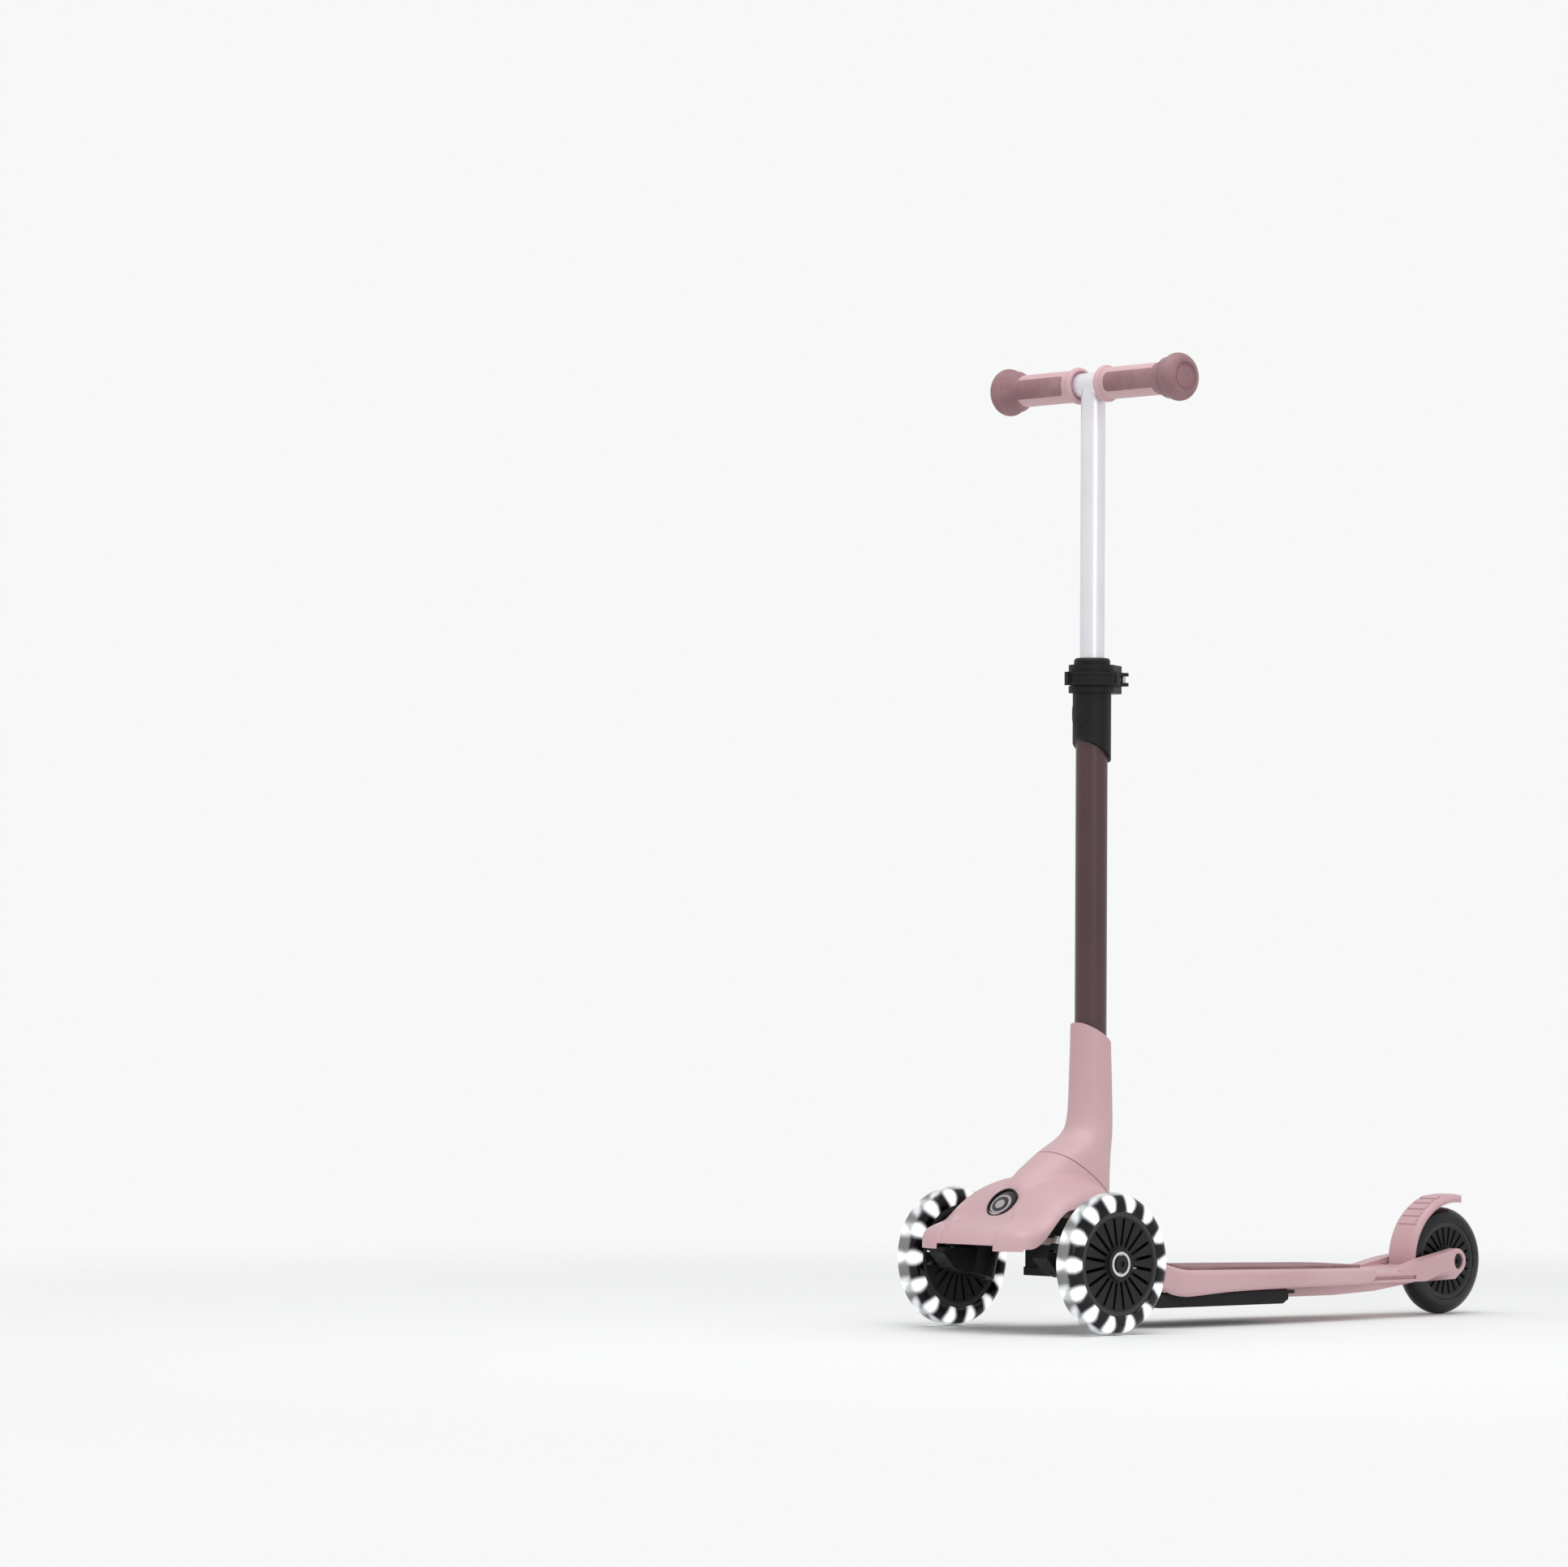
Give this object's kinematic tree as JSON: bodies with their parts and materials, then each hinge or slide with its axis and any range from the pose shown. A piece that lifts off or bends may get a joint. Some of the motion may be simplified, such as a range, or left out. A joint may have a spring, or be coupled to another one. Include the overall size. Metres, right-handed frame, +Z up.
{
  "type": "kick scooter",
  "caption": "Three-wheeled kick scooter with lean-and-steer front axle, sliding rear extension, hooded rear brake and telescopic T-bar with quick-release clamp.",
  "frame": {"origin": "on the ground, under the middle of the whole length and width", "axes": "-Y towards the front, +X to the rider's left, +Z up"},
  "size_m": [0.234, 0.662, 0.8665],
  "materials": {
    "pink_shell": "satin moulded",
    "pink_grip": "matt moulded",
    "mauve_rubber": "matt",
    "black_plastic": "fine grained",
    "lever_plastic": "fine grained",
    "hub_plastic": "satin moulded",
    "plum_tube": "satin paint",
    "bright_tube": "satin anodised",
    "badge_face": "polished",
    "screw_steel": "plated",
    "black_bolt": "black oxide",
    "bearing_steel": "polished",
    "spring_steel": "bare wire",
    "clear_tyre": "clear gloss",
    "lamp": "lit",
    "black_tyre": "satin"
  },
  "bodies": {
    "frame": {"deck_shell": "pink_shell", "deck_mat": "mauve_rubber", "under_rail": "black_plastic", "deck_screws": "screw_steel", "head_cover": "pink_shell", "badge": "badge_face", "badge_rim": "black_plastic", "steering_column": "pink_shell", "chassis": "black_plastic", "chassis_screws": "screw_steel", "kingpins": "black_bolt", "kingpin_nuts": "screw_steel", "spring_left": "spring_steel", "spring_right": "spring_steel", "outer_tube": "plum_tube", "clamp_collar": "black_plastic", "clamp_bolt": "screw_steel", "lever_pin": "screw_steel", "tube_bush": "black_plastic", "button_spring": "spring_steel"},
    "knuckle_left": {"knuckle_left": "black_plastic", "tie_pin_left": "screw_steel", "axle_bolt_left": "black_bolt", "spacer_left": "bearing_steel"},
    "knuckle_right": {"knuckle_right": "black_plastic", "tie_pin_right": "screw_steel", "axle_bolt_right": "black_bolt", "spacer_right": "bearing_steel"},
    "tie_rod": {"tie_rod": "screw_steel"},
    "wheel_left": {"tyre_left": "clear_tyre", "lamps_left": "lamp", "hub_left": "hub_plastic", "bearings_left": "bearing_steel"},
    "wheel_right": {"tyre_right": "clear_tyre", "lamps_right": "lamp", "hub_right": "hub_plastic", "bearings_right": "bearing_steel"},
    "extension": {"rear_extension": "pink_shell", "fender_pin": "screw_steel", "fender_spring": "spring_steel", "rear_axle_bolt": "black_bolt", "rear_axle_nut": "screw_steel", "rear_spacer": "bearing_steel"},
    "rear_wheel": {"rear_tyre": "black_tyre", "rear_hub": "hub_plastic", "rear_bearings": "bearing_steel"},
    "brake": {"brake_fender": "pink_shell"},
    "bar": {"inner_tube": "bright_tube", "guide_plug": "black_plastic", "cross_tube": "bright_tube", "grip_core_left": "pink_grip", "grip_core_right": "pink_grip", "grip_sleeve_left": "mauve_rubber", "grip_sleeve_right": "mauve_rubber", "grip_cap_left": "mauve_rubber", "grip_cap_right": "mauve_rubber"},
    "lever": {"clamp_lever": "lever_plastic"},
    "button": {"release_button": "black_plastic"}
  },
  "joints": [
    {"name": "steer_left", "type": "hinge", "parent": "frame", "child": "knuckle_left", "pos_m": [0.066, -0.249, 0.0625], "axis": [0, 0.2588, 0.9659], "range_deg": [-12, 12], "stiffness_Nm_per_rad": 6},
    {"name": "steer_right", "type": "hinge", "parent": "frame", "child": "knuckle_right", "pos_m": [-0.066, -0.249, 0.0625], "axis": [0, 0.2588, 0.9659], "range_deg": [-12, 12], "stiffness_Nm_per_rad": 6},
    {"name": "tie_swing", "type": "hinge", "parent": "knuckle_left", "child": "tie_rod", "pos_m": [0.066, -0.28158, 0.07227], "axis": [0, 0.2588, 0.9659], "range_deg": [-12, 12]},
    {"name": "spin_left", "type": "hinge", "parent": "knuckle_left", "child": "wheel_left", "pos_m": [0.102, -0.249, 0.0625], "axis": [1, 0, 0], "continuous": true},
    {"name": "spin_right", "type": "hinge", "parent": "knuckle_right", "child": "wheel_right", "pos_m": [-0.102, -0.249, 0.0625], "axis": [1, 0, 0], "continuous": true},
    {"name": "extend", "type": "slide", "parent": "frame", "child": "extension", "axis": [0, -1, 0], "range_m": [0, 0.035]},
    {"name": "spin_rear", "type": "hinge", "parent": "extension", "child": "rear_wheel", "pos_m": [0, 0.281, 0.05], "axis": [1, 0, 0], "continuous": true},
    {"name": "brake_press", "type": "hinge", "parent": "extension", "child": "brake", "pos_m": [0, 0.223, 0.042], "axis": [-1, 0, 0], "range_deg": [0, 3], "stiffness_Nm_per_rad": 3},
    {"name": "bar_height", "type": "slide", "parent": "frame", "child": "bar", "axis": [0, 0, -1], "range_m": [0, 0.2]},
    {"name": "lever_open", "type": "hinge", "parent": "frame", "child": "lever", "pos_m": [0.0135, -0.1505, 0.5804], "axis": [0, 0, 1], "range_deg": [0, 120]},
    {"name": "button_press", "type": "slide", "parent": "frame", "child": "button", "axis": [0, -1, 0], "range_m": [0, 0.0025], "stiffness_N_per_m": 600}
  ],
  "couplings": [
    {"joint": "steer_right", "follows": "steer_left", "ratio": 1},
    {"joint": "tie_swing", "follows": "steer_left", "ratio": -1}
  ]
}
